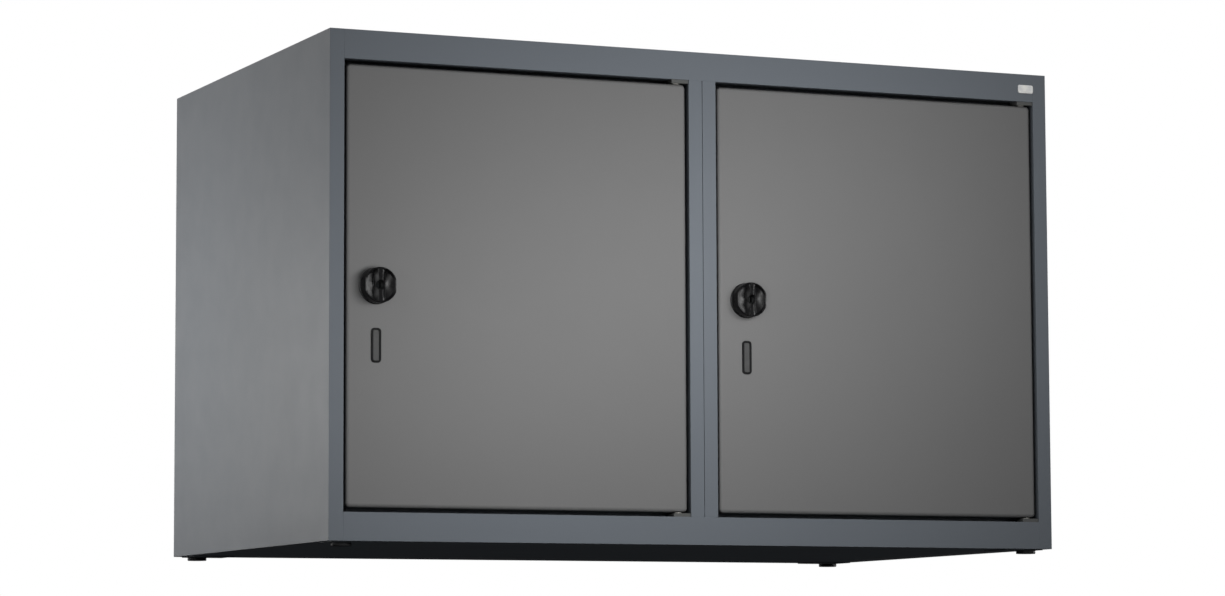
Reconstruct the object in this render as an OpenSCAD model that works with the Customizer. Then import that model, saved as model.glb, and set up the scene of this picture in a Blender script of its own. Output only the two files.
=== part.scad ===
// Two-door sheet-steel locker top unit with inset doors, pivot hinges and knob locks.
// Front faces -Y, width along X, Z up. The feet stand on Z = 0.
// The origin is the middle of the overall footprint, knobs included.

/* [Carcass] */
// Outside width of the carcass
body_w = 800; // [600:10:1000]
// Outside depth of the carcass, without the knobs
body_d = 500; // [350:10:600]
// Outside height of the carcass, without the feet
body_h = 500; // [350:10:800]
// Thickness of the sheet steel
sheet_t = 1; // [0.8:0.1:1.2]
// Width of each side post on the front
post_w = 15; // [12:1:25]
// Width of each half of the middle post
half_post_w = 15; // [12:1:25]
// Gap between the two halves of the middle post
seam_gap = 0.5; // [0.2:0.1:1]
// Height of the top front rail
top_rail_h = 29; // [20:1:50]
// Height of the bottom front rail
bottom_rail_h = 28; // [20:1:50]
// Depth of the folded returns round each opening
return_d = 26; // [26:1:34]
// How far the stop flanges reach behind the door edges
stop_lap = 12; // [10:1:16]
// Distance from the rear edges to the back panel
back_inset = 2; // [1.5:0.5:6]
// Width of the flanges that carry the back panel
rear_flange_w = 18; // [14:1:25]

/* [Doors] */
// Door face behind the carcass front
door_recess = 2; // [1:0.5:3]
// Thickness of the door pan
door_t = 20; // [18:1:20]
// Gap beside a door on its lock side
lock_gap = 3; // [2:0.1:3.5]
// Gap beside a door on its hinge side
hinge_gap = 2.5; // [2.2:0.1:3.5]
// Gap above and below a door
end_gap = 4.4; // [4.2:0.1:6]
// Radius of the door corners
door_corner_r = 4.5; // [4.5:0.5:8]
// Radius of the soft front edges
door_edge_r = 4; // [2:0.5:4]
// Width of the lips folded in at the back of a door
lip_w = 12; // [8:1:14]
// Width of the stiffener's raised part
stiffener_w = 30; // [20:2:60]
// Depth of the stiffener's raised part
stiffener_d = 15; // [8:1:16]
// Width of each stiffener flange
stiffener_flange = 12; // [8:1:20]

/* [Hinges] */
// Pivot axis, in from the door's right edge
pivot_in = 9; // [8:0.5:9.5]
// Pivot axis, behind the door's face
pivot_back = 7; // [6.5:0.5:7]
// Hinge pin diameter
pin_d = 6; // [4:0.5:6]
// Depth of the pin in the door
pin_reach = 13; // [8:1:20]
// Width of a hinge bracket
bracket_w = 18.5; // [16:0.5:26]
// Depth of a hinge bracket
bracket_d = 16; // [14:1:22]
// Thickness of a hinge bracket
bracket_t = 3.6; // [3:0.1:3.8]
// Bracket front behind the carcass front
bracket_recess = 1; // [0.5:0.5:2]

/* [Lock] */
// Lock axis, in from the door's left edge
lock_inset = 31; // [29:0.5:45]
// Lock axis above or below the door's middle
lock_offset = -1; // [-120:0.5:120]
// Diameter of the lock rosette
rosette_d = 36; // [30:1:44]
// Thickness of the lock rosette
rosette_t = 1.5; // [1:0.5:3]
// Outside diameter of the lock barrel
barrel_d = 22; // [22:0.5:26]
// Distance from the door face to the knob's front
knob_out_of_door = 13.5; // [12:0.5:24]
// Diameter of the knob
knob_d = 35; // [30:1:42]
// Width across the knob's two flats
knob_flats = 32.6; // [28:0.2:42]
// Width of the knob's grip bar at its crest
grip_w = 5; // [3:0.5:8]
// Distance from the knob's axis to the deepest line of a finger scoop
scoop_mid = 5.5; // [5:0.5:9]
// Depth of the finger scoops
scoop_depth = 5; // [2:0.5:6]
// Width of the rim left round the scoops
knob_rim = 1.2; // [0.8:0.2:2]
// Diameter of the knob's spindle
spindle_d = 16; // [14:0.5:16]
// Diameter of the key cylinder
plug_d = 8.6; // [8:0.1:9]
// How deep the key cylinder's face lies in the knob
plug_sunk = 2.8; // [0.5:0.1:3.5]
// Height of the keyway
keyway_h = 6; // [4:0.5:7]
// Width of the keyway
keyway_w = 1.5; // [1:0.1:2]
// Travel of the locking pawl
pawl_travel = 1.8; // [1.2:0.1:2]
// Width of the locking pawl
pawl_w = 8; // [7.6:0.2:9]
// Thickness of the locking pawl
pawl_t = 3; // [2:0.5:4]
// Thickness of the cam
cam_t = 2.5; // [2:0.5:4]
// Reach of the cam from the lock axis
cam_reach = 34; // [30:1:38]
// Width of the cam
cam_w = 14; // [13:1:18]
// Size of the square tang under the cam
tang_w = 9; // [8:0.5:10]
// Width across the flats of the lock nut
nut_flats = 27; // [27:0.5:32]
// Thickness of the lock nut
nut_t = 4; // [3:0.5:6]

/* [Label] */
// Width of the label frame
label_w = 10.4; // [9:0.2:20]
// Height of the label frame
label_h = 34; // [20:1:60]
// Corner radius of the label frame
label_r = 3.5; // [3:0.5:4.5]
// Width of the label frame's rim
label_rim = 2.1; // [1.5:0.1:2.5]
// How far the label frame stands off the door
label_t = 1.2; // [1:0.1:2]
// Thickness of the label insert
insert_t = 0.5; // [0.4:0.1:0.8]
// Distance from the lock axis down to the label's middle
label_drop = 58; // [45:1:90]

/* [Feet] */
// Distance from the floor to the carcass
foot_h = 4.5; // [3:0.5:20]
// Diameter of a foot
foot_d = 20.3; // [16:0.5:26]
// Foot axis, in from the outside faces
foot_inset = 20; // [18:1:30]
// Diameter of the foot's stem
foot_stem_d = 8; // [6:0.5:8]
// Side of the plates that carry the feet
foot_plate_w = 45; // [40:1:80]
// Thickness of the plates that carry the feet
foot_plate_t = 1; // [0.8:0.1:1.5]
// Foot plate edge, in from the outside faces
foot_plate_inset = 7; // [2:0.5:8]

/* [Fixings] */
// Diameter of the bolt holes in the bottom and back panels
bolt_d = 7; // [5:0.5:9]
// Bottom bolt spacing along X
floor_bolt_x = 640; // [400:10:700]
// Bottom bolt spacing along Y
floor_bolt_y = 380; // [200:10:400]
// Back panel bolt spacing along X
wall_bolt_x = 600; // [300:10:700]
// Back panel bolts below the top
wall_bolt_drop = 60; // [40:5:120]
// Diameter of a rivet
rivet_d = 4; // [3:0.5:5]
// Diameter of a rivet head
rivet_head_d = 7; // [6:0.5:8]
// Height of a rivet head
rivet_head_t = 1.1; // [0.8:0.1:1.4]
// Diameter of a door buffer
buffer_d = 9; // [7:0.5:9.5]
// Distance of the door buffers from the ends of the opening
buffer_end = 45; // [35:5:100]
// Width of the blank badge
badge_w = 18; // [10:1:24]
// Height of the blank badge
badge_h = 9; // [6:1:14]
// Badge middle, in from the carcass side
badge_in = 24; // [24:1:40]
// Badge middle, below the carcass top
badge_drop = 16; // [10:1:18]
// Thickness of the blank badge
badge_t = 0.8; // [0.5:0.1:1.2]

/* [Hidden] */
$fn = 64;
// Clearance between pieces that move past each other
running_gap = 0.3;
// Radial clearance of a shaft in its bore
fit_gap = 0.05;
// Cuts reach this far past the faces that they open
cut = 1;

knob_out = knob_out_of_door - door_recess;
front_y = (knob_out - body_d) / 2;
back_y = front_y + body_d;
stop_y = front_y + return_d;
rear_y = back_y - back_inset;
base_z = foot_h;
top_z = base_z + body_h;
open_z0 = base_z + bottom_rail_h;
open_z1 = top_z - top_rail_h;
side_x = body_w / 2;
open_w = side_x - post_w - half_post_w;
open_h = open_z1 - open_z0;
bay_x = [-side_x + post_w, half_post_w];

door_w = open_w - lock_gap - hinge_gap;
door_h = open_h - 2 * end_gap;
door_y = front_y + door_recess;
door_z = open_z0 + end_gap;
pivot_x = door_w - pivot_in;
lock_z = door_h / 2 + lock_offset;

bush_wall = 0.9;
bush_r = pin_d / 2 + bush_wall;
bush_flange_r = bush_r + 0.9;
bush_flange_t = end_gap - bracket_t - running_gap;
bush_extra = 1;

// Lock stations along the lock axis, measured outwards from the door face
cam_front = door_recess - return_d - sheet_t - running_gap - 0.2;
cam_back = cam_front - cam_t;
barrel_end = cam_front + running_gap;
knob_base = rosette_t + running_gap;
knob_edge_r = 0.8;
pawl_front = -6;
pawl_back = pawl_front - pawl_t;
slot_front = pawl_front + running_gap;
slot_back = pawl_back - running_gap;
plug_end = slot_front + running_gap;
crank_r = 1;
crank_slack = 0.7;
pawl_top = spindle_d / 2 - running_gap;
pawl_bottom = -4;
notch_r = pawl_top + pawl_travel + running_gap;
barrel_flat = barrel_d / 2 - 1.2;
screw_d = 5;
screw_head_d = 9.5;
screw_head_t = 3;
screw_depth = 9;
tang_slack = 0.1;

buffer_t = stop_y - door_y - door_t - running_gap;
buffer_stem_d = 4;
foot_disc_t = foot_h - foot_plate_t;
foot_edge_r = 0.8;
foot_collar_d = foot_stem_d + 1.6;
foot_collar_t = 1.5;
foot_slack = 0.1;
peg_d = label_rim - 0.3;
peg_reach = 3;
peg_in = label_rim / 2;
keyway_depth = 8;

slate = [0.38, 0.41, 0.45];
door_grey = [0.46, 0.46, 0.46];
black = [0.07, 0.07, 0.08];
steel = [0.72, 0.73, 0.75];
rubber = [0.12, 0.12, 0.12];
nylon = [0.85, 0.85, 0.82];
insert_grey = [0.36, 0.36, 0.36];
badge_grey = [0.8, 0.81, 0.82];

// ---- helpers ----

// A box given by its two limits along each axis
module block(x, y, z) {
    translate([x[0], y[0], z[0]])
        cube([x[1] - x[0], y[1] - y[0], z[1] - z[0]]);
}

module rounded_rect(w, h, r) {
    translate([r, 0])
        square([w - 2 * r, h]);
    translate([0, r])
        square([w, h - 2 * r]);
    for (x = [r, w - r], y = [r, h - r])
        translate([x, y])
            circle(r);
}

// Section of a plate's edge: w outwards and t up, with its outer upper corner rounded
module edge_section(w, t, e) {
    square([w - e, t]);
    square([w, t - e]);
    translate([w - e, t - e])
        intersection() {
            circle(e);
            square(e);
        }
}

// A plate of w by h by t, standing on its back face, with its front edges rounded
module soft_plate(w, h, t, r, e) {
    translate([w / 2, h / 2, 0]) {
        block([r - w / 2, w / 2 - r], [r - h / 2, h / 2 - r], [0, t]);
        for (turn = [0:90:270]) {
            out = turn % 180 == 0 ? w / 2 - r : h / 2 - r;
            along = turn % 180 == 0 ? h / 2 - r : w / 2 - r;
            rotate([0, 0, turn]) {
                translate([out, along, 0])
                    rotate([90, 0, 0])
                        linear_extrude(2 * along)
                            edge_section(r, t, e);
                translate([out, along, 0])
                    rotate_extrude(angle = 90)
                        edge_section(r, t, e);
            }
        }
    }
}

// A disc with its upper edge rounded
module soft_disc(r, t, e) {
    rotate_extrude()
        edge_section(r, t, e);
}

// Door frame of reference: lower left corner of the door's face, X right, Y inwards
module in_door(bay) {
    translate([bay_x[bay] + lock_gap, door_y, door_z])
        children();
}

// Lock frame of reference: on the lock axis at the door's face, Z pointing out of the door
module in_lock(bay) {
    in_door(bay)
        translate([lock_inset, 0, lock_z])
            rotate([90, 0, 0])
                children();
}

module rivet(grip) {
    translate([0, 0, -rivet_head_t])
        cylinder(d = rivet_d, h = grip + 2 * rivet_head_t);
    translate([0, 0, grip])
        soft_disc(rivet_head_d / 2, rivet_head_t, rivet_head_t / 2);
    translate([0, 0, -rivet_head_t])
        cylinder(d = rivet_head_d - 1, h = rivet_head_t);
}

// ---- carcass ----

// Side panel with its front post, stop flange and rear flange, drawn at the left
module side_panel() {
    color(slate) {
        block([-side_x, -side_x + sheet_t], [front_y, back_y], [base_z, top_z]);
        block([-side_x, bay_x[0]], [front_y, front_y + sheet_t], [base_z, top_z]);
        block([bay_x[0] - sheet_t, bay_x[0]], [front_y, stop_y + sheet_t],
            [base_z + sheet_t, top_z - sheet_t]);
        block([bay_x[0] - sheet_t, bay_x[0] + stop_lap], [stop_y, stop_y + sheet_t],
            [open_z0, open_z1]);
        rear_flange(-side_x);
    }
}

// Flange that the back panel is riveted to, from x inwards or outwards by one width
module rear_flange(x) {
    difference() {
        block([x, x + rear_flange_w], [rear_y - 2 * sheet_t, rear_y - sheet_t],
            [base_z + sheet_t, top_z - sheet_t]);
        rear_rivet_places()
            rivet_hole();
    }
}

module rivet_hole() {
    translate([0, 0, -cut - 2 * sheet_t])
        cylinder(d = rivet_d, h = 4 * sheet_t + 2 * cut);
}

// Places of the back panel's rivets, with Z pointing out of the back
module rear_rivet_places() {
    rivet_in = rear_flange_w / 2;
    for (x = [-side_x + rivet_in, -rivet_in, rivet_in, side_x - rivet_in], step = [0:3])
        translate([x, rear_y - 2 * sheet_t, base_z + 40 + step * (body_h - 80) / 3])
            rotate([-90, 0, 0])
                children();
}

// Places of the rivets that join the two partitions, with Z pointing along X
module partition_rivet_places() {
    for (y_step = [0:2], z_step = [0:2])
        translate([-sheet_t - seam_gap / 2, front_y + 60 + y_step * (body_d - 130) / 2,
            base_z + 50 + z_step * (body_h - 100) / 2])
            rotate([0, 90, 0])
                children();
}

// Places of the two buffers in one bay, with Z pointing at the door
module buffer_places(bay) {
    for (z = [open_z0 + buffer_end, open_z1 - buffer_end])
        translate([bay_x[bay] + stop_lap / 2, stop_y, z])
            rotate([90, 0, 0])
                children();
}

module buffer_holes(bay) {
    buffer_places(bay)
        translate([0, 0, -sheet_t - cut])
            cylinder(d = buffer_stem_d, h = sheet_t + 2 * cut);
}

module left_side_panel() {
    color(slate)
        difference() {
            side_panel();
            buffer_holes(0);
        }
}

module right_side_panel() {
    mirror([1, 0, 0])
        side_panel();
}

// Top or bottom panel: skin, front rail, return and stop flanges.
// z_out is the outer face, z_in the rail's inner edge, and up is 1 for the top panel
module end_panel(z_out, z_in, up) {
    skin = up > 0 ? [z_out - sheet_t, z_out] : [z_out, z_out + sheet_t];
    rail = up > 0 ? [z_in, z_out] : [z_out, z_in];
    fold = up > 0 ? [z_in, z_in + sheet_t] : [z_in - sheet_t, z_in];
    stop = up > 0 ? [z_in - stop_lap, z_in + sheet_t] : [z_in - sheet_t, z_in + stop_lap];
    rear = up > 0 ? [z_out - rear_flange_w, z_out] : [z_out, z_out + rear_flange_w];
    rail_x = [bay_x[0], -bay_x[0]];
    block([-side_x + sheet_t, side_x - sheet_t], [front_y + sheet_t, back_y], skin);
    block(rail_x, [front_y, front_y + sheet_t], rail);
    block(rail_x, [front_y, stop_y], fold);
    for (x = bay_x)
        block([x + stop_lap, x + open_w - stop_lap], [stop_y, stop_y + sheet_t], stop);
    for (side = [-1, 1])
        block([side * side_x / 2 - side_x / 2 + rear_flange_w,
            side * side_x / 2 + side_x / 2 - rear_flange_w],
            [rear_y - 2 * sheet_t, rear_y - sheet_t], rear);
}

module top_panel() {
    color(slate)
        end_panel(top_z, open_z1, 1);
}

// Places of the foot axes on the underside
module foot_places() {
    for (sx = [-1, 1], y = [front_y + foot_inset, back_y - foot_inset])
        translate([sx * (side_x - foot_inset), y, 0])
            children();
}

module bottom_panel() {
    color(slate)
        difference() {
            end_panel(base_z, open_z0, -1);
            for (sx = [-1, 1], sy = [-1, 1])
                translate([sx * floor_bolt_x / 2, front_y + body_d / 2 + sy * floor_bolt_y / 2,
                    base_z - cut])
                    cylinder(d = bolt_d, h = sheet_t + 2 * cut);
            foot_places()
                translate([0, 0, base_z - cut])
                    cylinder(d = foot_stem_d + 2 * foot_slack, h = sheet_t + 2 * cut);
        }
}

module back_panel() {
    color(slate)
        difference() {
            block([-side_x + sheet_t, side_x - sheet_t], [rear_y - sheet_t, rear_y],
                [base_z + sheet_t, top_z - sheet_t]);
            rear_rivet_places()
                rivet_hole();
            for (sx = [-1, 1])
                translate([sx * wall_bolt_x / 2, rear_y + cut, top_z - wall_bolt_drop])
                    rotate([90, 0, 0])
                        cylinder(d = bolt_d, h = sheet_t + 2 * cut);
        }
}

// Partition wall with its half of the middle post, drawn for the left bay
module partition() {
    x1 = -seam_gap / 2;
    x_post = -half_post_w;
    color(slate)
        difference() {
            union() {
                block([x1 - sheet_t, x1], [stop_y + sheet_t, rear_y - sheet_t],
                    [base_z + sheet_t, top_z - sheet_t]);
                block([x1 - sheet_t, x1], [front_y, stop_y + sheet_t], [open_z0, open_z1]);
                block([x_post, x1], [front_y, front_y + sheet_t], [open_z0, open_z1]);
                block([x_post, x_post + sheet_t], [front_y, stop_y + sheet_t], [open_z0, open_z1]);
                block([x_post - stop_lap, x_post + sheet_t], [stop_y, stop_y + sheet_t],
                    [open_z0, open_z1]);
                intersection() {
                    rear_flange(-rear_flange_w);
                    block([-side_x, x1], [front_y, back_y], [base_z, top_z]);
                }
            }
            partition_rivet_places()
                rivet_hole();
        }
}

module left_partition() {
    partition();
}

module right_partition() {
    color(slate)
        difference() {
            mirror([1, 0, 0])
                partition();
            buffer_holes(1);
        }
}

module partition_rivets() {
    color(slate)
        partition_rivet_places()
            rivet(2 * sheet_t + seam_gap);
}

module back_rivets() {
    color(slate)
        rear_rivet_places()
            rivet(2 * sheet_t);
}

module foot_plates() {
    plate_x = side_x - foot_plate_inset;
    color(slate)
        difference() {
            for (sx = [-1, 1], y = [front_y + foot_plate_inset,
                back_y - foot_plate_inset - foot_plate_w])
                block(sx < 0 ? [-plate_x, -plate_x + foot_plate_w]
                    : [plate_x - foot_plate_w, plate_x],
                    [y, y + foot_plate_w], [base_z - foot_plate_t, base_z]);
            foot_places()
                translate([0, 0, base_z - foot_plate_t - cut])
                    cylinder(d = foot_stem_d + 2 * foot_slack, h = foot_plate_t + 2 * cut);
        }
}

// One foot: a round pad with a stem that snaps into the bottom panel
module foot(sx, y) {
    color(black)
        translate([sx * (side_x - foot_inset), y, 0]) {
            translate([0, 0, foot_disc_t])
                mirror([0, 0, 1])
                    soft_disc(foot_d / 2, foot_disc_t, foot_edge_r);
            cylinder(d = foot_stem_d, h = base_z + sheet_t + foot_collar_t);
            translate([0, 0, base_z + sheet_t])
                cylinder(d = foot_collar_d, h = foot_collar_t);
        }
}

module front_left_foot() {
    foot(-1, front_y + foot_inset);
}

module front_right_foot() {
    foot(1, front_y + foot_inset);
}

module rear_left_foot() {
    foot(-1, back_y - foot_inset);
}

module rear_right_foot() {
    foot(1, back_y - foot_inset);
}

module blank_badge() {
    color(badge_grey)
        translate([side_x - badge_in - badge_w / 2, front_y, top_z - badge_drop - badge_h / 2])
            rotate([90, 0, 0])
                soft_plate(badge_w, badge_h, badge_t, 2, badge_t / 2);
}

// One rubber buffer, pushed through the stop flange of its bay
module door_buffers(bay) {
    color(rubber)
        buffer_places(bay) {
            soft_disc(buffer_d / 2, buffer_t, min(1, buffer_t / 3));
            translate([0, 0, -sheet_t - 2])
                cylinder(d = buffer_stem_d, h = sheet_t + 2);
            translate([0, 0, -sheet_t - 2])
                cylinder(d = buffer_stem_d + 2, h = 2);
        }
}

module left_door_buffers() {
    door_buffers(0);
}

module right_door_buffers() {
    door_buffers(1);
}

// ---- hinges ----

// Turns children that are drawn for the upper end of a door over for its lower end
module at_end(bay, upper) {
    x = bay_x[bay] + lock_gap + pivot_x;
    translate([x, door_y + pivot_back, upper ? open_z1 : open_z0])
        mirror([0, 0, upper ? 1 : 0])
            children();
}

// Bracket welded to a rail, its Z running from the rail into the opening
module hinge_bracket(bay, upper) {
    x1 = pivot_in + hinge_gap;
    y0 = bracket_recess - door_recess - pivot_back;
    color(door_grey)
        at_end(bay, upper)
            difference() {
                block([x1 - bracket_w, x1], [y0, y0 + bracket_d], [0, bracket_t]);
                translate([0, 0, -cut])
                    cylinder(d = pin_d + 2 * fit_gap, h = bracket_t + 2 * cut);
            }
}

module hinge_pin(bay, upper) {
    color(steel)
        at_end(bay, upper)
            cylinder(d = pin_d, h = end_gap + pin_reach);
}

// Flanged bush in the door's end wall, round the hinge pin
module hinge_bush(bay, upper) {
    color(nylon)
        at_end(bay, upper)
            translate([0, 0, end_gap])
                difference() {
                    union() {
                        translate([0, 0, -bush_flange_t])
                            cylinder(r = bush_flange_r, h = bush_flange_t);
                        cylinder(r = bush_r, h = pin_reach + bush_extra);
                    }
                    translate([0, 0, -bush_flange_t - cut])
                        cylinder(d = pin_d + 2 * fit_gap, h = pin_reach + bush_extra + 3 * cut);
                }
}

module left_upper_bracket() {
    hinge_bracket(0, true);
}

module left_lower_bracket() {
    hinge_bracket(0, false);
}

module right_upper_bracket() {
    hinge_bracket(1, true);
}

module right_lower_bracket() {
    hinge_bracket(1, false);
}

module left_upper_pin() {
    hinge_pin(0, true);
}

module left_lower_pin() {
    hinge_pin(0, false);
}

module right_upper_pin() {
    hinge_pin(1, true);
}

module right_lower_pin() {
    hinge_pin(1, false);
}

module left_upper_bush() {
    hinge_bush(0, true);
}

module left_lower_bush() {
    hinge_bush(0, false);
}

module right_upper_bush() {
    hinge_bush(1, true);
}

module right_lower_bush() {
    hinge_bush(1, false);
}

// ---- doors ----

// Folded door pan with soft front edges and lips at the back
module door_pan(bay) {
    color(door_grey)
        difference() {
            in_door(bay)
                difference() {
                    translate([0, door_t, 0])
                        rotate([90, 0, 0])
                            soft_plate(door_w, door_h, door_t, door_corner_r, door_edge_r);
                    translate([sheet_t, door_t - sheet_t, sheet_t])
                        rotate([90, 0, 0])
                            soft_plate(door_w - 2 * sheet_t, door_h - 2 * sheet_t,
                                door_t - 2 * sheet_t, door_corner_r - sheet_t,
                                door_edge_r - sheet_t);
                    block([lip_w, door_w - lip_w], [door_t - sheet_t - cut, door_t + cut],
                        [lip_w, door_h - lip_w]);
                    translate([pivot_x, pivot_back, -cut])
                        cylinder(r = bush_r, h = sheet_t + 2 * cut);
                    translate([pivot_x, pivot_back, door_h - sheet_t - cut])
                        cylinder(r = bush_r, h = sheet_t + 2 * cut);
                }
            in_lock(bay) {
                translate([0, 0, -sheet_t - cut])
                    barrel_outline(sheet_t + 2 * cut, fit_gap);
                label_pegs(peg_d + 2 * fit_gap);
            }
        }
}

// Barrel section: round with one flat below, grown by grow
module barrel_outline(h, grow) {
    linear_extrude(h)
        intersection() {
            circle(d = barrel_d + 2 * grow);
            translate([-barrel_d, -barrel_flat - grow])
                square([2 * barrel_d, barrel_flat + 2 * barrel_d]);
        }
}

// The two pegs that hold a label frame, of diameter d
module label_pegs(d) {
    for (end = [-1, 1])
        translate([0, -label_drop + end * (label_h / 2 - peg_in), -peg_reach])
            cylinder(d = d, h = peg_reach + cut / 2);
}

// Upright hat section fixed behind the door's face
module door_stiffener(bay) {
    x0 = door_w / 2 - stiffener_w / 2;
    x1 = door_w / 2 + stiffener_w / 2;
    y1 = sheet_t + stiffener_d;
    z = [lip_w + 4, door_h - lip_w - 4];
    color(door_grey)
        in_door(bay) {
            block([x0 - stiffener_flange, x0 + sheet_t], [sheet_t, 2 * sheet_t], z);
            block([x1 - sheet_t, x1 + stiffener_flange], [sheet_t, 2 * sheet_t], z);
            block([x0, x0 + sheet_t], [sheet_t, y1], z);
            block([x1 - sheet_t, x1], [sheet_t, y1], z);
            block([x0, x1], [y1 - sheet_t, y1], z);
        }
}

module left_door() {
    door_pan(0);
}

module right_door() {
    door_pan(1);
}

module left_door_stiffener() {
    door_stiffener(0);
}

module right_door_stiffener() {
    door_stiffener(1);
}

module label_frame(bay) {
    color(black)
        in_lock(bay) {
            difference() {
                translate([-label_w / 2, -label_drop - label_h / 2, 0])
                    soft_plate(label_w, label_h, label_t, label_r, 0.5);
                translate([-label_w / 2 + label_rim, -label_drop - label_h / 2 + label_rim, -cut])
                    linear_extrude(label_t + 2 * cut)
                        rounded_rect(label_w - 2 * label_rim, label_h - 2 * label_rim,
                            label_r - label_rim);
            }
            label_pegs(peg_d);
        }
}

module label_insert(bay) {
    slack = 0.1;
    inner_r = label_r - label_rim;
    color(insert_grey)
        in_lock(bay)
            translate([-label_w / 2 + label_rim + slack,
                -label_drop - label_h / 2 + label_rim + slack, 0])
                linear_extrude(insert_t)
                    rounded_rect(label_w - 2 * (label_rim + slack),
                        label_h - 2 * (label_rim + slack), inner_r - slack / 2);
}

module left_label_frame() {
    label_frame(0);
}

module right_label_frame() {
    label_frame(1);
}

module left_label_insert() {
    label_insert(0);
}

module right_label_insert() {
    label_insert(1);
}

// ---- locks ----

// Rosette and barrel, with two notches inside that the locking pawl can enter
module lock_housing(bay) {
    color(black)
        in_lock(bay)
            difference() {
                union() {
                    soft_disc(rosette_d / 2, rosette_t, rosette_t / 2);
                    translate([0, 0, barrel_end])
                        barrel_outline(-barrel_end, 0);
                }
                translate([0, 0, barrel_end - cut])
                    cylinder(d = spindle_d + 2 * fit_gap, h = rosette_t - barrel_end + 2 * cut);
                for (turn = [0, -90])
                    rotate([0, 0, turn])
                        block([-pawl_w / 2 - running_gap, pawl_w / 2 + running_gap],
                            [0, notch_r], [slot_back - running_gap, slot_front + running_gap]);
            }
}

module lock_nut(bay) {
    color(steel)
        in_lock(bay)
            translate([0, 0, -sheet_t - nut_t])
                difference() {
                    cylinder(d = nut_flats / cos(30), h = nut_t, $fn = 6);
                    translate([0, 0, -cut])
                        cylinder(d = barrel_d + 2 * fit_gap, h = nut_t + 2 * cut);
                }
}

// Two finger scoops: steep beside the grip bar, gentle towards the knob's flats
module finger_scoops() {
    outer = knob_flats / 2 - knob_rim;
    for (side = [-1, 1])
        intersection() {
            rotate([90, 0, 0])
                linear_extrude(knob_d, center = true)
                    polygon([[side * grip_w / 2, knob_out_of_door],
                        [side * scoop_mid, knob_out_of_door - scoop_depth],
                        [side * outer, knob_out_of_door],
                        [side * outer, knob_out_of_door + cut],
                        [side * grip_w / 2, knob_out_of_door + cut]]);
            cylinder(r = knob_d / 2 - knob_rim, h = knob_out_of_door + cut);
        }
}

module knob(bay) {
    color(black)
        in_lock(bay)
            difference() {
                union() {
                    intersection() {
                        translate([0, 0, knob_base])
                            soft_disc(knob_d / 2, knob_out_of_door - knob_base, knob_edge_r);
                        block([-knob_flats / 2, knob_flats / 2], [-knob_d, knob_d],
                            [0, knob_out_of_door]);
                    }
                    translate([0, 0, cam_front])
                        cylinder(d = spindle_d, h = knob_base - cam_front);
                    block([-tang_w / 2, tang_w / 2], [-tang_w / 2, tang_w / 2],
                        [cam_back, cam_front]);
                }
                finger_scoops();
                translate([0, 0, slot_front])
                    cylinder(d = plug_d + 2 * fit_gap, h = knob_out_of_door - slot_front + cut);
                block([-pawl_w / 2 - running_gap, pawl_w / 2 + running_gap],
                    [pawl_bottom - running_gap, spindle_d], [slot_back, slot_front]);
                translate([0, 0, cam_back - cut])
                    cylinder(d = screw_d + 2 * fit_gap, h = screw_depth + 2 * cut);
            }
}

// Key cylinder with a keyway in front and a crank pin behind
module key_cylinder(bay) {
    plug_front = knob_out_of_door - plug_sunk;
    color(steel)
        in_lock(bay) {
            difference() {
                translate([0, 0, plug_end])
                    cylinder(d = plug_d, h = plug_front - plug_end);
                block([-keyway_w / 2, keyway_w / 2], [-keyway_h / 2, keyway_h / 2],
                    [plug_front - keyway_depth, plug_front + cut]);
            }
            translate([-pawl_travel, 0, pawl_back + running_gap])
                cylinder(r = crank_r, h = plug_end - pawl_back);
        }
}

// Pawl that the crank pin lifts out of the spindle
module locking_pawl(bay) {
    slot_x = pawl_travel + crank_r + running_gap;
    slot_y = crank_r + crank_slack;
    color(steel)
        in_lock(bay)
            difference() {
                intersection() {
                    block([-pawl_w / 2, pawl_w / 2], [pawl_bottom, pawl_top],
                        [pawl_back, pawl_front]);
                    translate([0, 0, pawl_back])
                        cylinder(r = pawl_top, h = pawl_t);
                }
                block([-slot_x, crank_r + running_gap], [-slot_y, slot_y],
                    [pawl_back - cut, pawl_front + cut]);
            }
}

module cam(bay) {
    hole = tang_w / 2 + tang_slack;
    color(steel)
        in_lock(bay)
            difference() {
                union() {
                    translate([0, 0, cam_back])
                        cylinder(r = tang_w / 2 * sqrt(2) + 2.5, h = cam_t);
                    block([-cam_w / 2, cam_w / 2], [cam_w / 2 - cam_reach, 0],
                        [cam_back, cam_front]);
                    translate([0, cam_w / 2 - cam_reach, cam_back])
                        cylinder(d = cam_w, h = cam_t);
                }
                block([-hole, hole], [-hole, hole], [cam_back - cut, cam_front + cut]);
            }
}

module cam_screw(bay) {
    color(steel)
        in_lock(bay)
            translate([0, 0, cam_back])
                difference() {
                    union() {
                        translate([0, 0, -screw_head_t])
                            cylinder(d = screw_head_d, h = screw_head_t);
                        cylinder(d = screw_d, h = screw_depth);
                    }
                    translate([0, 0, -screw_head_t - cut])
                        cylinder(d = screw_d * 0.9, h = screw_head_t, $fn = 6);
                }
}

module left_lock_housing() {
    lock_housing(0);
}

module right_lock_housing() {
    lock_housing(1);
}

module left_lock_nut() {
    lock_nut(0);
}

module right_lock_nut() {
    lock_nut(1);
}

module left_knob() {
    knob(0);
}

module right_knob() {
    knob(1);
}

module left_key_cylinder() {
    key_cylinder(0);
}

module right_key_cylinder() {
    key_cylinder(1);
}

module left_locking_pawl() {
    locking_pawl(0);
}

module right_locking_pawl() {
    locking_pawl(1);
}

module left_cam() {
    cam(0);
}

module right_cam() {
    cam(1);
}

module left_cam_screw() {
    cam_screw(0);
}

module right_cam_screw() {
    cam_screw(1);
}

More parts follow.
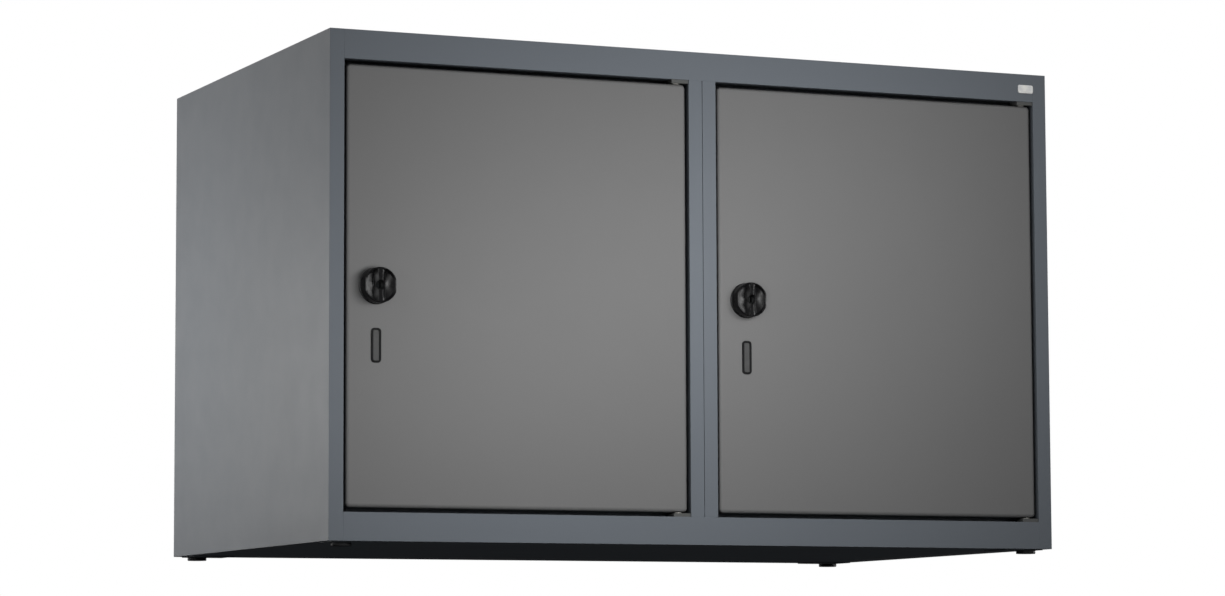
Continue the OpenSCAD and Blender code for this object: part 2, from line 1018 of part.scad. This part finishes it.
left_side_panel();
right_side_panel();
top_panel();
bottom_panel();
back_panel();
left_partition();
right_partition();
partition_rivets();
back_rivets();
foot_plates();
front_left_foot();
front_right_foot();
rear_left_foot();
rear_right_foot();
blank_badge();
left_upper_bracket();
left_lower_bracket();
right_upper_bracket();
right_lower_bracket();
left_upper_pin();
left_lower_pin();
right_upper_pin();
right_lower_pin();
left_door_buffers();
right_door_buffers();
left_door();
left_door_stiffener();
left_upper_bush();
left_lower_bush();
left_lock_housing();
left_lock_nut();
left_label_frame();
left_label_insert();
left_knob();
left_key_cylinder();
left_locking_pawl();
left_cam();
left_cam_screw();
right_door();
right_door_stiffener();
right_upper_bush();
right_lower_bush();
right_lock_housing();
right_lock_nut();
right_label_frame();
right_label_insert();
right_knob();
right_key_cylinder();
right_locking_pawl();
right_cam();
right_cam_screw();
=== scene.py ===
import math

import bmesh
import bpy
from mathutils import Matrix, Vector


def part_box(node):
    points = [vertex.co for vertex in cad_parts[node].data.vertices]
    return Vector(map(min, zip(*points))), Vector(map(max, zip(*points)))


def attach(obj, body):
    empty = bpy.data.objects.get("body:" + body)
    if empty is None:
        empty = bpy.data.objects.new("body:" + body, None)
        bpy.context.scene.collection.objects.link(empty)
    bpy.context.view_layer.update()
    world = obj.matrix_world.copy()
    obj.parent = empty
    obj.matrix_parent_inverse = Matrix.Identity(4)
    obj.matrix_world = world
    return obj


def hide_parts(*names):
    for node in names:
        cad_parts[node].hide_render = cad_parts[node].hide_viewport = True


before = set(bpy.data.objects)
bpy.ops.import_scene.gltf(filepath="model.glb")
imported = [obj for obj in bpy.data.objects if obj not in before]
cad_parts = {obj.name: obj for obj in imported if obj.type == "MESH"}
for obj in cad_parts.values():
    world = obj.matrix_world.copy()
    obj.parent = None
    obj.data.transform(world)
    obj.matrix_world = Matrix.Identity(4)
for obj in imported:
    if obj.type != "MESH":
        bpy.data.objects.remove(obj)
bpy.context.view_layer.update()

MM = 0.001
SIDES = ("left", "right")

# ---- the photograph's camera: pixels, metres and radians ----
PHOTO_WIDTH_PX = 1225
FOCAL_PX = 3889.5
SENSOR_MM = 36
CAMERA_AT = (-1.6538, -3.7894, -0.1355)
CAMERA_YAW = 0.4130
CAMERA_PITCH = 0.0993
CAMERA_ROLL = -0.0040

# ---- colours, linear ----
SLATE = (0.143, 0.160, 0.181)
DOOR_GREY = (0.172, 0.172, 0.172)
# Door grey darkened as painted shade, for the hinge brackets that sit in the door gaps
BRACKET_SHADED_GREY = (0.092, 0.095, 0.093)
BLACK_PLASTIC = (0.0065, 0.0068, 0.0070)
KNOB_PLASTIC = (0.0019, 0.0019, 0.0021)
FOOT_PLASTIC = (0.045, 0.046, 0.050)
LABEL_BLACK = (0.0085, 0.0085, 0.0090)
LABEL_GREY = (0.064, 0.064, 0.064)
# Near black: a dark plating, darkened further as painted shade of the keyway deep in its bore
CORE_METAL = (0.0070, 0.0074, 0.0078)
ZINC = (0.60, 0.61, 0.63)
RUBBER = (0.018, 0.018, 0.018)
NYLON = (0.66, 0.65, 0.60)
BADGE = (0.74, 0.75, 0.76)
FLOOR = (0.88, 0.88, 0.88)
FLOOR_BOUNCE = (0.20, 0.20, 0.20)


# ---- materials ----

# Widest gaps that get painted shade, between painted sheets and round soft pieces
PAINT_SHADE_GAP = 16 * MM
SOFT_SHADE_GAP = 4 * MM
# Share of its colour that a surface keeps deep in a gap, as painted shade
GAP_SHADE = 0.12


class Surface:
    """A node material round one Principled shader, with textures in the frame's own metres."""

    def __init__(self, name, **sockets):
        self.material = bpy.data.materials.new(name)
        self.material.use_nodes = True
        self.tree = self.material.node_tree
        self.shader = self.tree.nodes["Principled BSDF"]
        for socket, value in sockets.items():
            self.shader.inputs[socket.replace("_", " ")].default_value = value
        self.place = self.tree.nodes.new("ShaderNodeTexCoord").outputs["Object"]
        self.height = None

    def add(self, kind, **settings):
        node = self.tree.nodes.new(kind)
        for name, value in settings.items():
            setattr(node, name, value)
        return node

    def join(self, output, socket):
        self.tree.links.new(output, socket)

    def noise(self, size, detail=2.0, stretch=(1, 1, 1)):
        """Noise whose features are about size metres across, longer where stretch is above 1."""
        mapping = self.add("ShaderNodeMapping")
        mapping.inputs["Scale"].default_value = [1 / (size * s) for s in stretch]
        self.join(self.place, mapping.inputs["Vector"])
        noise = self.add("ShaderNodeTexNoise")
        noise.inputs["Scale"].default_value = 1
        noise.inputs["Detail"].default_value = detail
        self.join(mapping.outputs["Vector"], noise.inputs["Vector"])
        return noise.outputs["Fac"]

    def spread(self, output, low, high, band=(0.3, 0.7)):
        """Maps the band of a texture onto low to high."""
        node = self.add("ShaderNodeMapRange")
        node.inputs["From Min"].default_value, node.inputs["From Max"].default_value = band
        node.inputs["To Min"].default_value = low
        node.inputs["To Max"].default_value = high
        self.join(output, node.inputs["Value"])
        return node.outputs["Result"]

    def edges(self, radius):
        """About 1 within radius of an outer edge, and 0 on open surfaces."""
        bevel = self.add("ShaderNodeBevel", samples=4)
        bevel.inputs["Radius"].default_value = radius
        dot = self.add("ShaderNodeVectorMath", operation="DOT_PRODUCT")
        self.join(bevel.outputs["Normal"], dot.inputs[0])
        self.join(self.add("ShaderNodeNewGeometry").outputs["Normal"], dot.inputs[1])
        return self.spread(dot.outputs["Value"], 1, 0, (0.75, 0.98))

    def gaps(self, reach):
        """Mask of painted shade: about 1 deep in gaps narrower than reach, and 0 on open surfaces.
        """
        open_share = self.add("ShaderNodeAmbientOcclusion", samples=6)
        open_share.inputs["Distance"].default_value = reach
        return self.spread(open_share.outputs["AO"], 1, 0, (0.15, 0.55))

    def tint(self, factor, start, end):
        """The colour that goes from start to end with factor; start is a colour or an output."""
        mix = self.add("ShaderNodeMix", data_type="RGBA")
        self.join(factor, mix.inputs["Factor"])
        if isinstance(start, tuple):
            mix.inputs["A"].default_value = (*start, 1)
        else:
            self.join(start, mix.inputs["A"])
        mix.inputs["B"].default_value = (*end, 1)
        return mix.outputs["Result"]

    def blend(self, factor, first, second):
        """Mixes two shader nodes, from first at 0 to second at 1."""
        mix = self.add("ShaderNodeMixShader")
        self.join(factor, mix.inputs[0])
        self.join(first.outputs[0], mix.inputs[1])
        self.join(second.outputs[0], mix.inputs[2])
        return mix

    def colour(self, output):
        self.join(output, self.shader.inputs["Base Color"])

    def roughness(self, output):
        self.join(output, self.shader.inputs["Roughness"])

    def bump(self, output, depth):
        """Adds one layer of relief, depth metres from its low to its high places."""
        bump = self.add("ShaderNodeBump")
        bump.inputs["Distance"].default_value = depth
        self.join(output, bump.inputs["Height"])
        if self.height:
            self.join(self.height, bump.inputs["Normal"])
        self.height = bump.outputs["Normal"]
        self.join(self.height, self.shader.inputs["Normal"])


def scaled(colour, factor):
    return tuple(min(1.0, c * factor) for c in colour)


def powder_coat(name, colour, roughness, gap=0):
    """Satin powder coat: orange peel, fine grain, faint patches, a thinner coat on edges,
    and painted shade in gaps up to gap metres wide."""
    s = Surface(name, Specular_IOR_Level=0.42)
    patches = s.spread(s.noise(160 * MM, 3), 0, 1)
    fleck = s.spread(s.noise(0.7 * MM, 1), 0, 1)
    base = s.tint(patches, scaled(colour, 0.985), scaled(colour, 1.015))
    flecked = s.tint(s.spread(fleck, 0, 0.10, (0.6, 1)), base, scaled(colour, 1.5))
    worn = s.spread(s.edges(0.9 * MM), 0, 0.32, (0, 1))
    coat = s.tint(worn, flecked, scaled(colour, 1.45))
    if gap:
        # Painted shade: darker deep in narrow gaps, where the parts around keep light out
        coat = s.tint(s.gaps(gap), coat, scaled(colour, GAP_SHADE))
    s.colour(coat)
    s.roughness(s.spread(s.noise(30 * MM, 3), roughness - 0.02, roughness + 0.02))
    s.bump(s.noise(2.2 * MM, 1), 0.035 * MM)
    s.bump(fleck, 0.012 * MM)
    return s.material


def moulded_plastic(name, colour, roughness, gloss, wear=0.35):
    """Moulded plastic with a spark-eroded grain, polished a little where hands and edges rub."""
    s = Surface(name, IOR=1.49, Specular_IOR_Level=gloss)
    cloud = s.spread(s.noise(12 * MM, 3), 0, 1)
    base = s.tint(cloud, scaled(colour, 0.85), scaled(colour, 1.2))
    rubbed = s.spread(s.edges(0.8 * MM), 0, wear, (0, 1))
    s.colour(s.tint(rubbed, base, scaled(colour, 2.6)))
    s.roughness(s.spread(s.noise(4 * MM, 3), roughness - 0.07, roughness + 0.07))
    s.bump(s.noise(0.4 * MM, 1), 0.014 * MM)
    return s.material


def plated_steel(name, colour, roughness, stretch=(1, 1, 1)):
    """Zinc-plated steel: drawing marks, cloudy passivation and bright rubbed edges."""
    s = Surface(name, Metallic=1)
    cloud = s.spread(s.noise(6 * MM, 4), 0, 1)
    marks = s.noise(0.6 * MM, 2, stretch)
    warm = tuple(c * t for c, t in zip(colour, (1.04, 1.02, 0.96)))
    dull = s.tint(cloud, scaled(colour, 0.82), warm)
    rubbed = s.spread(s.edges(0.5 * MM), 0, 0.6, (0, 1))
    s.colour(s.tint(rubbed, dull, scaled(colour, 1.3)))
    s.roughness(s.spread(marks, roughness - 0.10, roughness + 0.14))
    s.bump(marks, 0.01 * MM)
    return s.material


def soft_plastic(name, colour, roughness, grain):
    """Rubber, nylon or a label strip: matt, softly mottled, fine-grained, with painted shade in
    gaps.
    """
    s = Surface(name, IOR=1.5)
    cloud = s.spread(s.noise(5 * MM, 2), 0, 1)
    body = s.tint(cloud, scaled(colour, 0.88), scaled(colour, 1.1))
    # Painted shade: darker deep in narrow gaps
    s.colour(s.tint(s.gaps(SOFT_SHADE_GAP), body, scaled(colour, GAP_SHADE)))
    s.roughness(s.spread(cloud, roughness - 0.05, roughness + 0.05, (0, 1)))
    s.bump(s.noise(grain, 2), grain * 0.04)
    return s.material


def make_materials():
    """The finish of each material slot in the record, and the two that OWN_FINISH adds."""
    return {
        "frame_paint": powder_coat("slate_powder_coat", SLATE, 0.45, PAINT_SHADE_GAP),
        "base_paint": powder_coat("slate_base_coat", SLATE, 0.45),
        "door_paint": powder_coat("grey_powder_coat", DOOR_GREY, 0.47, PAINT_SHADE_GAP),
        "bracket_shaded_paint": powder_coat("bracket_shaded_powder_coat", BRACKET_SHADED_GREY, 0.50, PAINT_SHADE_GAP),
        "foot_plastic": moulded_plastic("foot_polyamide", FOOT_PLASTIC, 0.42, 0.30),
        "lock_plastic": moulded_plastic("rosette_plastic", BLACK_PLASTIC, 0.40, 0.15),
        "knob_plastic": moulded_plastic("knob_plastic_grip", KNOB_PLASTIC, 0.30, 0.07, 0.25),
        "lock_metal": plated_steel("key_core_metal", CORE_METAL, 0.38),
        "label_rim": moulded_plastic("label_rim_plastic", LABEL_BLACK, 0.45, 0.18),
        "label_insert": soft_plastic("label_strip", LABEL_GREY, 0.42, 0.5 * MM),
        "badge": plated_steel("badge_satin", BADGE, 0.42, (12, 1, 1)),
        "plain_steel": plated_steel("zinc_plate", ZINC, 0.34, (1, 1, 6)),
        "rubber": soft_plastic("buffer_rubber", RUBBER, 0.75, 0.4 * MM),
        "nylon": soft_plastic("bush_nylon", NYLON, 0.50, 0.5 * MM),
    }


# ---- dressing of the CAD nodes ----

# How far the cut and folded edges of sheet metal are eased, and from what angle on
SHEET_EDGE = 0.2 * MM
FOLD_ANGLE = math.radians(50)
# Corners of a node's mesh that are closer than this are one
WELD = 0.001 * MM
BRACKETS = [f"{side}_{end}_bracket" for side in SIDES for end in ("upper", "lower")]
BASE_NODES = ["bottom_panel", "foot_plates"]
SHEET_NODES = BASE_NODES + BRACKETS + ["top_panel", "back_panel"]
SHEET_NODES += [side + name for side in SIDES
                for name in ("_side_panel", "_partition", "_door_stiffener")]
# Nodes whose finish differs a little from that of their slot: the base without painted gap shade,
# # and the brackets in a darker grey that is painted shade
OWN_FINISH = dict.fromkeys(BASE_NODES, "base_paint") | dict.fromkeys(BRACKETS, "bracket_shaded_paint")


def ease_edges(node):
    weld = node.modifiers.new("weld", "WELD")
    weld.merge_threshold = WELD
    bevel = node.modifiers.new("ease", "BEVEL")
    bevel.width = SHEET_EDGE
    bevel.segments = 2
    bevel.limit_method = "ANGLE"
    bevel.angle_limit = FOLD_ANGLE


def dress_nodes(finishes):
    """Gives each CAD node its finish, and eases the edges of the sheet metal."""
    for name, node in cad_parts.items():
        finish = finishes[OWN_FINISH.get(name, node.data.materials[0].name)]
        for place in node.material_slots:
            place.link = "OBJECT"
            place.material = finish
        if name in SHEET_NODES:
            ease_edges(node)


# ---- knobs ----

# Radius of the rolled front edge, and how far the back edge is drawn in
FRONT_EDGE = 0.8 * MM
BACK_EDGE = 0.6 * MM
# Where the back edge's knee lies, as a share of that
BACK_KNEE = 0.3
FRONT_EDGE_STEPS = 6
# Within this of an arc or a flat, the outline's normal turns to that one's
OUTLINE_BLEND = 0.3 * MM
# Half the crest's width, and from the axis to the scoops' deepest line
CREST_HALF = 2.1 * MM
SCOOP_MID = 5.9 * MM
SCOOP_DEPTH = 4.6 * MM
# Share of the depth that is lost towards the upper and lower ends
SCOOP_SAG = 0.70
# Softness of the corner at the crest's edge, and hollowness of the outer bank
FLANK_EASE = 0.03
BANK_HOLLOW = 0.45
# Flat lip round the scoops, and the width over which they rise to it
RIM_LIP = 0.2 * MM
RIM_WALL = 1.6 * MM
# Key bore: its radius, its depth and its lead-in
BORE_R = 4.35 * MM
BORE_DEPTH = 6 * MM
BORE_LEAD = 0.35 * MM
BORE_SIDES = 48
# Columns of faces from the axis to the crest's edge, deepest line, lip and outline
COLUMN_COUNTS = (3, 14, 18, 2)
# Rows of faces from the middle to the outline, closer together near its end
ROW_STOPS = (0, 0.75, 1)
ROW_COUNTS = (12, 16)
# From the rosette to the head, and a hidden break between the head and its spindle
HEAD_GAP = 0.3 * MM
SPINDLE_BREAK = 0.2 * MM
# Edges sharper than this aren't shaded smooth
SHARP_ANGLE = math.radians(38)


def smooth_step(x):
    x = max(0.0, min(1.0, x))
    return x * x * (3 - 2 * x)


def eased_ramp(x, ease):
    """From 0 at 0 to 1 at 1, with a corner at 0 that ease softens."""
    return (math.hypot(x, ease) - ease) / (math.hypot(1, ease) - ease)


def scoop(x, y, radius, flat):
    """Depth of the finger scoops: steep beside the crest, gentle out to the flats."""
    out = abs(x)
    if out < SCOOP_MID:
        flank = max(0.0, (out - CREST_HALF) / (SCOOP_MID - CREST_HALF))
        depth = eased_ramp(flank, FLANK_EASE)
    else:
        bank = min(1.0, (out - SCOOP_MID) / (flat - RIM_LIP - SCOOP_MID))
        depth = 1 - bank * (1 - BANK_HOLLOW + BANK_HOLLOW * bank)
    wall = radius - RIM_LIP - math.hypot(x, y)
    return SCOOP_DEPTH * depth * smooth_step(wall / RIM_WALL) * (1 - SCOOP_SAG * (y / radius) ** 2)


def steps(stops, counts):
    """Values from stop to stop, with each stretch cut into its count of equal parts."""
    values = [stops[0]]
    for a, b, n in zip(stops, stops[1:], counts):
        values += [a + (b - a) * (i + 1) / n for i in range(n)]
    return values


def knob_head(radius, flat, back, front):
    """Closed knob head: scooped front, rolled front edge, drawn-in back edge. Z is its axis."""
    bm = bmesh.new()
    r_in = radius - FRONT_EDGE
    flat_in = flat - FRONT_EDGE
    half = steps([0, CREST_HALF, SCOOP_MID, flat_in - RIM_LIP, flat_in], COLUMN_COUNTS)
    columns = [-x for x in reversed(half[1:])] + half
    share = steps(ROW_STOPS, ROW_COUNTS)
    rows = [-t for t in reversed(share[1:])] + share
    grid = []
    for x in columns:
        reach = math.sqrt(r_in ** 2 - x ** 2)
        grid.append([bm.verts.new((x, t * reach, front - scoop(x, t * reach, r_in, flat_in)))
                     for t in rows])
    for a, b in zip(grid, grid[1:]):
        for i in range(len(rows) - 1):
            bm.faces.new((a[i], b[i], b[i + 1], a[i + 1]))
    loop = ([column[0] for column in grid] + grid[-1][1:-1]
            + [column[-1] for column in reversed(grid)] + list(reversed(grid[0][1:-1])))
    outward = []
    for v in loop:
        on_arc = smooth_step((math.hypot(v.co.x, v.co.y) - r_in) / OUTLINE_BLEND + 1)
        on_flat = smooth_step((abs(v.co.x) - flat_in) / OUTLINE_BLEND + 1)
        n = Vector((v.co.x, v.co.y, 0)).normalized() * on_arc
        n += Vector((math.copysign(1, v.co.x), 0, 0)) * on_flat
        outward.append(n.normalized())
    turns = [math.pi / 2 * (i + 1) / FRONT_EDGE_STEPS for i in range(FRONT_EDGE_STEPS)]
    profile = [(FRONT_EDGE * math.sin(a), front - FRONT_EDGE * (1 - math.cos(a))) for a in turns]
    profile += [(FRONT_EDGE, back + BACK_EDGE),
                (FRONT_EDGE - BACK_KNEE * BACK_EDGE, back + BACK_KNEE * BACK_EDGE),
                (FRONT_EDGE - BACK_EDGE, back)]
    ring = loop
    for out, z in profile:
        new = []
        for v, n in zip(loop, outward):
            p = v.co.xy + n.xy * out
            p.x = max(-flat, min(flat, p.x))
            if p.length > radius:
                p = p.normalized() * radius
            new.append(bm.verts.new((p.x, p.y, z)))
        for i in range(len(ring)):
            j = (i + 1) % len(ring)
            bm.faces.new((ring[i], new[i], new[j], ring[j]))
        ring = new
    bm.faces.new(ring)
    bmesh.ops.recalc_face_normals(bm, faces=bm.faces)
    return bm


def turned(points, sides):
    """Closed solid of revolution about Z from (radius, z) points that start and end on the axis."""
    bm = bmesh.new()
    rings = []
    for r, z in points:
        if r == 0:
            rings.append([bm.verts.new((0, 0, z))])
        else:
            rings.append([bm.verts.new((r * math.cos(2 * math.pi * i / sides),
                                        r * math.sin(2 * math.pi * i / sides), z))
                          for i in range(sides)])
    for a, b in zip(rings, rings[1:]):
        for i in range(sides):
            j = (i + 1) % sides
            corners = [a[i % len(a)], a[j % len(a)], b[j % len(b)], b[i % len(b)]]
            bm.faces.new(list(dict.fromkeys(corners)))
    bmesh.ops.recalc_face_normals(bm, faces=bm.faces)
    return bm


def as_object(bm, name):
    mesh = bpy.data.meshes.new(name)
    bm.to_mesh(mesh)
    bm.free()
    obj = bpy.data.objects.new(name, mesh)
    bpy.context.scene.collection.objects.link(obj)
    return obj


def bake_modifiers(obj):
    graph = bpy.context.evaluated_depsgraph_get()
    mesh = bpy.data.meshes.new_from_object(obj.evaluated_get(graph))
    obj.modifiers.clear()
    obj.data = mesh


def cut_away(obj, tool):
    """Subtracts tool from obj and removes it."""
    cut = obj.modifiers.new("cut", "BOOLEAN")
    cut.operation = "DIFFERENCE"
    cut.solver = "EXACT"
    cut.object = tool
    bake_modifiers(obj)
    bpy.data.objects.remove(tool)


def shade_by_angle(mesh, angle):
    mesh.polygons.foreach_set("use_smooth", [True] * len(mesh.polygons))
    mesh.set_sharp_from_angle(angle=angle)


def rear_of_node(node, y_cut):
    """The part of a CAD node behind y_cut, closed again where it was cut."""
    bm = bmesh.new()
    bm.from_mesh(node.data)
    bmesh.ops.remove_doubles(bm, verts=bm.verts, dist=WELD)
    everything = bm.verts[:] + bm.edges[:] + bm.faces[:]
    cut = bmesh.ops.bisect_plane(bm, geom=everything, plane_co=(0, y_cut, 0),
                                 plane_no=(0, -1, 0), clear_outer=True)
    rim = [e for e in cut["geom_cut"] if isinstance(e, bmesh.types.BMEdge)]
    bmesh.ops.triangle_fill(bm, edges=rim, use_beauty=True, use_dissolve=False)
    bmesh.ops.recalc_face_normals(bm, faces=bm.faces)
    return bm


def key_bore(front):
    """The space that the key bore takes out of a head whose front is at front along Z."""
    return turned([(0, front - BORE_DEPTH), (BORE_R, front - BORE_DEPTH),
                   (BORE_R, front - BORE_LEAD), (BORE_R + 2 * BORE_LEAD, front + BORE_LEAD),
                   (0, front + BORE_LEAD)], BORE_SIDES)


def make_knob(side, finishes):
    """The knob's own head, in the CAD knob's box and on its lock's axis, with the CAD's spindle."""
    housing_lo, housing_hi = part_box(side + "_lock_housing")
    knob_lo, knob_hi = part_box(side + "_knob")
    head_back = housing_lo.y - HEAD_GAP
    axis = Vector(((housing_lo.x + housing_hi.x) / 2, 0, (housing_lo.z + housing_hi.z) / 2))
    radius = (knob_hi.z - knob_lo.z) / 2
    flat = (knob_hi.x - knob_lo.x) / 2
    front = -knob_lo.y
    head = as_object(knob_head(radius, flat, -head_back, front), side + "_knob_head")
    cut_away(head, as_object(key_bore(front), "tool"))
    head.data.transform(Matrix.Translation(axis) @ Matrix.Rotation(math.pi / 2, 4, "X"))
    bm = rear_of_node(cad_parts[side + "_knob"], head_back + SPINDLE_BREAK)
    bm.from_mesh(head.data)
    bm.to_mesh(head.data)
    bm.free()
    head.data.materials.clear()
    head.data.materials.append(finishes["knob_plastic"])
    shade_by_angle(head.data, SHARP_ANGLE)
    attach(head, side + "_turning_knob")
    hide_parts(side + "_knob")
    return head


# ---- stage ----

# Half the floor's side, where it starts to fade to white, and where it is white
FLOOR_REACH = 20
FLOOR_NEAR = 0.9
FLOOR_FAR = 3.5
# Glow of the floor in the camera's eyes only, near the object
FLOOR_LIFT = 0.5
AMBIENT = 0.013

# A long, low lamp in front: left end down, right end up. It lights but doesn't mirror.
KEY_AT = (-0.05, -0.72, 0.268)
KEY_SIZE = (0.70, 0.15)
KEY_TILT = math.radians(20)
KEY_POWER = 3.06
# Lamps for the other faces: where each hangs, what it points at, its size and its power
OTHER_LAMPS = {
    "side_near": ((-0.80, 0.25, 0.26), (0, 0.25, 0.26), (0.25, 0.25), 0.72),
    "side_far": ((-1.30, 1.40, 0.26), (-0.40, 0.10, 0.26), (0.50, 0.50), 2.4),
    "front_left": ((-1.20, -0.75, 0.35), (-0.30, -0.25, 0.25), (0.12, 0.50), 0.6),
    "right": ((1.15, 0.00, 0.30), (0, 0, 0.30), (0.50, 0.50), 6.5),
    "back": ((0.00, 1.05, 0.32), (0, 0, 0.32), (0.70, 0.40), 6.5),
    "top": ((0.00, 0.00, 1.15), (0, 0, 0), (0.80, 0.50), 5.5),
}
# Lamps that light only the black lock parts: where each hangs, its size and its power
GLINT_AIM = (-0.15, -0.24, 0.25)
GLINT_LAMPS = {
    "glint_left": ((-1.76, -4.45, 0.42), (0.90, 0.90), 150.0),
    "glint_side": ((-1.50, -0.62, 0.38), (0.30, 0.60), 8.0),
    "glint_right": ((1.45, -0.82, 0.45), (1.20, 1.40), 85.0),
}
# Soft suns from below, and from above for the floor alone
UNDER_SUN = 0.20
UNDER_SUN_SPREAD = math.radians(40)
FLOOR_SUN = 1.25
FLOOR_SUN_FROM = (0.25, -0.35, 1)
FLOOR_SUN_SPREAD = math.radians(60)


def make_floor():
    """Pale floor that fades to white far off. It is clear from below, as the photograph looks up."""
    bm = bmesh.new()
    bmesh.ops.create_grid(bm, x_segments=1, y_segments=1, size=FLOOR_REACH)
    floor = as_object(bm, "floor")
    s = Surface("pale_floor", Base_Color=(*FLOOR, 1), Roughness=0.9, Specular_IOR_Level=0.1)
    bounce = s.add("ShaderNodeBsdfDiffuse")
    bounce.inputs["Color"].default_value = (*FLOOR_BOUNCE, 1)
    path = s.add("ShaderNodeLightPath")
    lift = s.add("ShaderNodeEmission")
    lift.inputs["Strength"].default_value = FLOOR_LIFT
    near = s.add("ShaderNodeAddShader")
    s.join(s.shader.outputs[0], near.inputs[0])
    s.join(lift.outputs[0], near.inputs[1])
    away = s.add("ShaderNodeVectorMath", operation="LENGTH")
    s.join(s.place, away.inputs[0])
    fade = s.spread(away.outputs["Value"], 0, 1, (FLOOR_NEAR, FLOOR_FAR))
    seen = s.blend(fade, near, s.add("ShaderNodeEmission"))
    lit = s.blend(path.outputs["Is Camera Ray"], bounce, seen)
    clear = s.add("ShaderNodeMath", operation="MAXIMUM")
    s.join(s.add("ShaderNodeNewGeometry").outputs["Backfacing"], clear.inputs[0])
    s.join(path.outputs["Is Shadow Ray"], clear.inputs[1])
    whole = s.blend(clear.outputs[0], lit, s.add("ShaderNodeBsdfTransparent"))
    s.join(whole.outputs[0], s.tree.nodes["Material Output"].inputs["Surface"])
    floor.data.materials.append(s.material)
    return floor


def make_world():
    """Plain soft ambient light, which the camera, gloss and clear pieces see as white."""
    world = bpy.data.worlds.new("studio")
    bpy.context.scene.world = world
    world.use_nodes = True
    tree = world.node_tree
    background = tree.nodes["Background"]
    background.inputs["Color"].default_value = (1, 1, 1, 1)
    path = tree.nodes.new("ShaderNodeLightPath")
    seen = path.outputs["Is Camera Ray"]
    for ray in ("Is Glossy Ray", "Is Transmission Ray"):
        either = tree.nodes.new("ShaderNodeMath")
        either.operation = "MAXIMUM"
        tree.links.new(seen, either.inputs[0])
        tree.links.new(path.outputs[ray], either.inputs[1])
        seen = either.outputs[0]
    level = tree.nodes.new("ShaderNodeMapRange")
    level.inputs["To Min"].default_value = AMBIENT
    level.inputs["To Max"].default_value = 1
    tree.links.new(seen, level.inputs["Value"])
    tree.links.new(level.outputs["Result"], background.inputs["Strength"])


def make_lamp(name, kind, at, aim):
    data = bpy.data.lights.new(name, kind)
    lamp = bpy.data.objects.new(name, data)
    bpy.context.scene.collection.objects.link(lamp)
    lamp.location = at
    lamp.rotation_euler = (Vector(aim) - Vector(at)).to_track_quat("-Z", "Y").to_euler()
    lamp.visible_camera = False
    return lamp


def make_panel_lamp(name, at, aim, size, power):
    lamp = make_lamp(name, "AREA", at, aim)
    lamp.data.shape = "RECTANGLE"
    lamp.data.size, lamp.data.size_y = size
    lamp.data.energy = power
    return lamp


def make_sun(name, at, spread, strength):
    """A sun that shines from at towards the origin."""
    sun = make_lamp(name, "SUN", at, (0, 0, 0))
    sun.data.angle = spread
    sun.data.energy = strength
    return sun


def link_lamp(lamp, pieces, state):
    """Makes a lamp light only these pieces (INCLUDE), or all pieces but these (EXCLUDE)."""
    linked = bpy.data.collections.new(lamp.name + "_link")
    for piece in pieces:
        linked.objects.link(piece)
    lamp.light_linking.receiver_collection = linked
    for entry in linked.collection_objects:
        entry.light_linking.link_state = state


def make_lamps(floor, lock_pieces):
    key = make_panel_lamp("key", KEY_AT, (KEY_AT[0], 0, KEY_AT[2]), KEY_SIZE, KEY_POWER)
    key.rotation_euler.rotate_axis("Z", KEY_TILT)
    key.visible_glossy = False
    link_lamp(key, [floor], "EXCLUDE")
    for name, (at, aim, size, power) in OTHER_LAMPS.items():
        link_lamp(make_panel_lamp(name, at, aim, size, power), [floor], "EXCLUDE")
    for name, (at, size, power) in GLINT_LAMPS.items():
        link_lamp(make_panel_lamp(name, at, GLINT_AIM, size, power), lock_pieces, "INCLUDE")
    make_sun("under", (0, 0, -1), UNDER_SUN_SPREAD, UNDER_SUN)
    above = make_sun("above", FLOOR_SUN_FROM, FLOOR_SUN_SPREAD, FLOOR_SUN)
    link_lamp(above, [floor], "INCLUDE")


def make_camera():
    data = bpy.data.cameras.new("photo_camera")
    data.sensor_width = SENSOR_MM
    data.lens = FOCAL_PX * SENSOR_MM / PHOTO_WIDTH_PX
    camera = bpy.data.objects.new("photo_camera", data)
    bpy.context.scene.collection.objects.link(camera)
    turn = Matrix.Rotation(-CAMERA_YAW, 4, "Z") @ Matrix.Rotation(CAMERA_PITCH + math.pi / 2, 4, "X")
    camera.matrix_world = (Matrix.Translation(CAMERA_AT) @ turn
                           @ Matrix.Rotation(CAMERA_ROLL, 4, "Z"))
    bpy.context.scene.camera = camera


finishes = make_materials()
dress_nodes(finishes)
lock_pieces = []
for side in SIDES:
    lock_pieces.append(make_knob(side, finishes))
    lock_pieces += [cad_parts[side + name] for name in ("_key_cylinder", "_lock_housing")]
floor = make_floor()
make_world()
make_lamps(floor, lock_pieces)
make_camera()

bpy.context.scene.view_settings.view_transform = "Standard"
